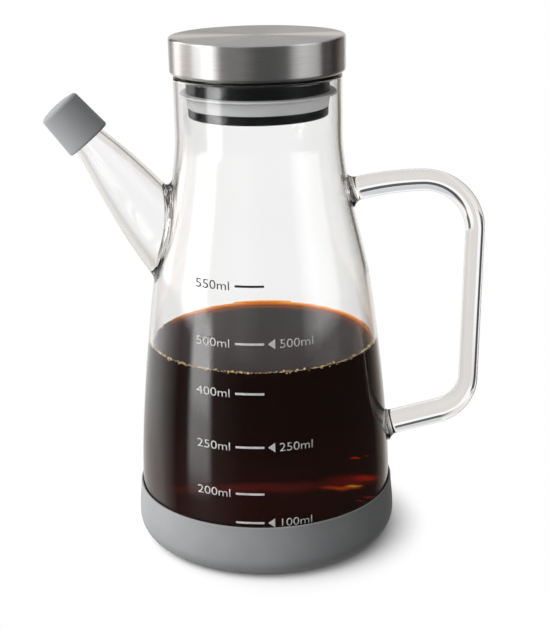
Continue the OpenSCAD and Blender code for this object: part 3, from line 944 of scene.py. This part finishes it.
# White paper that keeps the shadow round the foot. Further out it is blank to the camera and open to
# looks through the glass, and close by it looks a little darker and warmer through the glass rod.
shadow_r, blank_r, open_r = 42, 62, 70
window_x, dim_x = -130, 100
paper, tree, shader = new_material("white_paper", Roughness=1.0, Specular_IOR_Level=0.0)
coords = add_node(tree, "ShaderNodeTexCoord").outputs["Object"]
far = add_node(tree, "ShaderNodeVectorMath", [(0, coords)], operation="LENGTH")
away = add_node(tree, "ShaderNodeMapRange", [
    ("Value", far), ("From Min", shadow_r * MM), ("From Max", blank_r * MM)],
    interpolation_type="SMOOTHSTEP")
look = add_node(tree, "ShaderNodeLightPath").outputs
sheet = add_node(tree, "ShaderNodeMix", [
    (0, look["Is Transmission Ray"]), (6, linear("#f6f6f6")), (7, linear("#e6e2de"))], data_type="RGBA")
set_inputs(tree, shader, [("Base Color", sheet)])
seen = add_node(tree, "ShaderNodeMath", [
    (0, look["Is Camera Ray"]), (1, look["Is Transmission Ray"])], operation="MAXIMUM")
far_seen = add_node(tree, "ShaderNodeMath", [(0, away), (1, seen)], operation="MULTIPLY")
blank = add_node(tree, "ShaderNodeEmission", [("Strength", 1.0)])
gone = add_node(tree, "ShaderNodeBsdfTransparent")
far_look = add_node(tree, "ShaderNodeMixShader", [(0, look["Is Camera Ray"]), (1, gone), (2, blank)])
floor_look = add_node(tree, "ShaderNodeMixShader", [(0, far_seen), (1, shader), (2, far_look)])
# The paper throws more light back on the left, where the window is
side_way = add_node(tree, "ShaderNodeSeparateXYZ", [("Vector", coords)]).outputs["X"]
thrown = add_node(tree, "ShaderNodeMapRange", [
    ("Value", side_way), ("From Min", window_x * MM), ("From Max", dim_x * MM), ("To Min", 1.7),
    ("To Max", 0.1)], interpolation_type="SMOOTHSTEP")
open_floor = add_node(tree, "ShaderNodeMapRange", [
    ("Value", far), ("From Min", shadow_r * MM), ("From Max", open_r * MM), ("To Min", 0.1)])
thrown = add_node(tree, "ShaderNodeMath", [(0, thrown), (1, open_floor)], operation="MULTIPLY")
throw = add_node(tree, "ShaderNodeEmission", [("Strength", thrown)])
floor_look = add_node(tree, "ShaderNodeMixShader", [
    (0, look["Is Diffuse Ray"]), (1, floor_look), (2, throw)])
# Reflections look past the floor to the room's lower screens
bounced = add_node(tree, "ShaderNodeMath", [(0, look["Glossy Depth"]), (1, 0.5)], operation="GREATER_THAN")
floor_seen = add_node(tree, "ShaderNodeMixShader", [(0, bounced), (1, floor_look), (2, gone)])
set_inputs(tree, tree.nodes["Material Output"], [("Surface", floor_seen)])
floor_mesh.materials.append(paper)

# Light round the room by azimuth in degrees, with 0 towards the camera and 90 on the handle side.
# Above the table: a dark room in front, a window and a pale wall on the left, a grey screen on the right.
# On the table: white paper behind, which runs out to the dark front.
room_gain = 4.0
room = [
    (-180, 0.35), (-166, 0.12), (-138, 0.1), (-133, 3.0, "#fff8f2"), (-120, 3.3, "#fff6ee"),
    (-114, 1.7, "#f4ebe4"), (-95, 1.7, "#f4ebe4"), (-89, 3.5), (-63, 3.8), (-58, 0.6, "#f6eee6"),
    (-37, 0.42, "#fffdfa"), (-22, 0.5, "#fffdfa"), (-2, 0.12), (16, 0.1), (39, 0.2), (48, 1.3), (58, 2.0),
    (80, 1.5), (88, 1.2), (89.5, 0.02, "#f0e6dc"), (104, 0.25, "#f0e6dc"), (114, 0.02, "#f0e6dc"),
    (134, 0.02, "#f0e6dc"), (148, 0.3), (180, 0.35)]
table = [
    (-180, 1.05), (-120, 1.0), (-104, 0.5), (-90, 0.06), (-60, 0.25), (-44, 0.16), (-20, 0.05),
    (122, 0.04), (136, 0.3, "#fff4ea"), (148, 0.75, "#f6e6d8"), (158, 1.05), (180, 1.05)]
# The light that falls on matte surfaces comes from above and mostly from the left
fill = [
    (-180, 0.5), (-130, 3.0), (-90, 3.8), (-50, 1.9), (0, 0.35), (50, 0.05), (130, 0.05), (180, 0.5)]
# Elevations at which the table ends, the ceiling begins and the fill light turns to that from above
table_edge = (-7.5, -4.5)
ceiling_edge = (18, 40)
fill_edge = (32, 55)
# Single cards: from and to in azimuth, with 0 straight behind and the handle side positive, from and
# to in elevation, softness of both edges, level and colour
cards = [
    (-22, 28, -5.5, 12, 3, 1.5, 0.87, "#fffaf4"), (-70, 30, -60, -19, 5, 2, 0.84, "#fffcf8"),
    (25, 38, -12, -4, 2, 1, 0.22, "#f0e2d6"), (-36, -25, -11, -7, 2, 1, 0.5, "#f6ece4"),
    (-128, -105, -19, -4, 4, 4, 2.3), (-126, -107, -12, -4, 3, 1.5, 4.0)]
# The cards that are seen through a solid rod, which bends the look far to the side
rod_cards = [
    (-4, 60, -62, -12.5, 1.5, 1, 0.78, "#fffaf6"), (-36, -18, -24, -12.5, 1.5, 1, 0.1, "#e8ecf2"),
    (-5, 26, -5.5, 4, 6, 0.8, 0.12, "#e8ecf2"), (-5, 28, 5.5, 31, 4, 1.5, 0.76, "#f2f6fa")]
world = bpy.data.worlds.new("studio")
bpy.context.scene.world = world
world.use_nodes = True
tree = world.node_tree
tree.nodes.clear()
coords = add_node(tree, "ShaderNodeTexCoord").outputs["Generated"]
way = add_node(tree, "ShaderNodeSeparateXYZ", [("Vector", coords)]).outputs
look = add_node(tree, "ShaderNodeLightPath").outputs


def in_degrees(operation, *values):
    """An angle worked out from the direction of the look, in degrees."""
    angle = add_node(tree, "ShaderNodeMath", list(enumerate(values)), operation=operation)
    return add_node(tree, "ShaderNodeMath", [(0, angle)], operation="DEGREES")


def light(level, code="#ffffff"):
    """A light's colour as a share of the brightest level that the room can hold."""
    return tuple(c * level / room_gain for c in linear(code)[:3]) + (1,)


def laid_over(under, over, *limits):
    """One light over another where all limits hold: a kind of look, or an angle's way from 0 to full."""
    cover = None
    for limit in limits:
        if isinstance(limit, tuple):
            angle, low, high = limit
            limit = add_node(tree, "ShaderNodeMapRange", [
                ("Value", angle), ("From Min", low), ("From Max", high)], interpolation_type="SMOOTHSTEP")
        if cover:
            limit = add_node(tree, "ShaderNodeMath", [(0, cover), (1, limit)], operation="MULTIPLY")
        cover = limit
    return add_node(tree, "ShaderNodeMix", [(0, cover), (6, under), (7, over)], data_type="RGBA")


front = add_node(tree, "ShaderNodeMath", [(0, way["Y"]), (1, -1.0)], operation="MULTIPLY")
azimuth = in_degrees("ARCTAN2", way["X"], front)
behind = in_degrees("ARCTAN2", way["X"], way["Y"])
elevation = in_degrees("ARCSINE", way["Z"])
round_share = add_node(tree, "ShaderNodeMapRange", [
    ("Value", azimuth), ("From Min", -180), ("From Max", 180)])
screens = []
for levels in (room, table, fill):
    stops = [((angle + 180) / 360, light(*colour)) for angle, *colour in levels]
    stops = [stops[0], stops[-1]] + stops[1:-1]
    screens.append(add_node(tree, "ShaderNodeValToRGB", [("Fac", round_share)], stops))
room_screen, table_screen, fill_screen = screens
inside = laid_over(table_screen, room_screen, (elevation, *table_edge))
inside = laid_over(inside, light(0.7), (elevation, *ceiling_edge))
# A straight look through the glass sees white all round, apart from the cards. One through a rod passes
# two surfaces, and one through the flask passes four.
straight = add_node(tree, "ShaderNodeMath", [
    (0, look["Is Transmission Ray"]), (1, look["Glossy Depth"])], operation="GREATER_THAN")
inside = laid_over(inside, light(1.05), straight)
one_body = add_node(tree, "ShaderNodeMath", [
    (0, look["Transmission Depth"]), (1, 2.5)], operation="LESS_THAN")
for card in cards + rod_cards:
    left, right, low, high, side_soft, end_soft, *colour = card
    limits = [
        (behind, left - side_soft, left + side_soft), (behind, right + side_soft, right - side_soft),
        (elevation, low - end_soft, low + end_soft), (elevation, high + end_soft, high - end_soft)]
    if card in rod_cards:
        limits += [straight, one_body]
    inside = laid_over(inside, light(*colour), *limits)
shed = laid_over(fill_screen, light(0.45), (elevation, *fill_edge))
inside = laid_over(inside, shed, look["Is Diffuse Ray"])
shown = laid_over(inside, light(1), look["Is Camera Ray"])
air = add_node(tree, "ShaderNodeBackground", [("Color", shown), ("Strength", room_gain)])
add_node(tree, "ShaderNodeOutputWorld", [("Surface", air)])

lamp_data = bpy.data.lights.new("softbox", "AREA")
lamp_data.shape = "DISK"
lamp_data.size = 1.0
lamp_data.energy = 9
lamp = put_in_scene(lamp_data)
lamp_aim = Vector((0, 0, 0.08))
lamp.location = (-0.75, -0.25, 0.95)
lamp.rotation_euler = (lamp_aim - lamp.location).to_track_quat("-Z", "Y").to_euler()
lamp.visible_glossy = False
lamp.visible_transmission = False

photo_h = 629
focal_px = 1356
sensor_mm = 36
camera_place = (0, -0.469, 0.2355)
pitch, yaw, roll = (math.radians(a) for a in (18.09, 0.546, -1.04))
camera_data = bpy.data.cameras.new("camera")
camera_data.sensor_width = sensor_mm
camera_data.lens = focal_px / photo_h * sensor_mm
camera = put_in_scene(camera_data)
camera.matrix_world = (
    Matrix.Translation(camera_place) @ Matrix.Rotation(-yaw, 4, "Z")
    @ Matrix.Rotation(math.pi / 2 - pitch, 4, "X") @ Matrix.Rotation(roll, 4, "Z"))
bpy.context.scene.camera = camera
bpy.context.scene.view_settings.view_transform = "Standard"
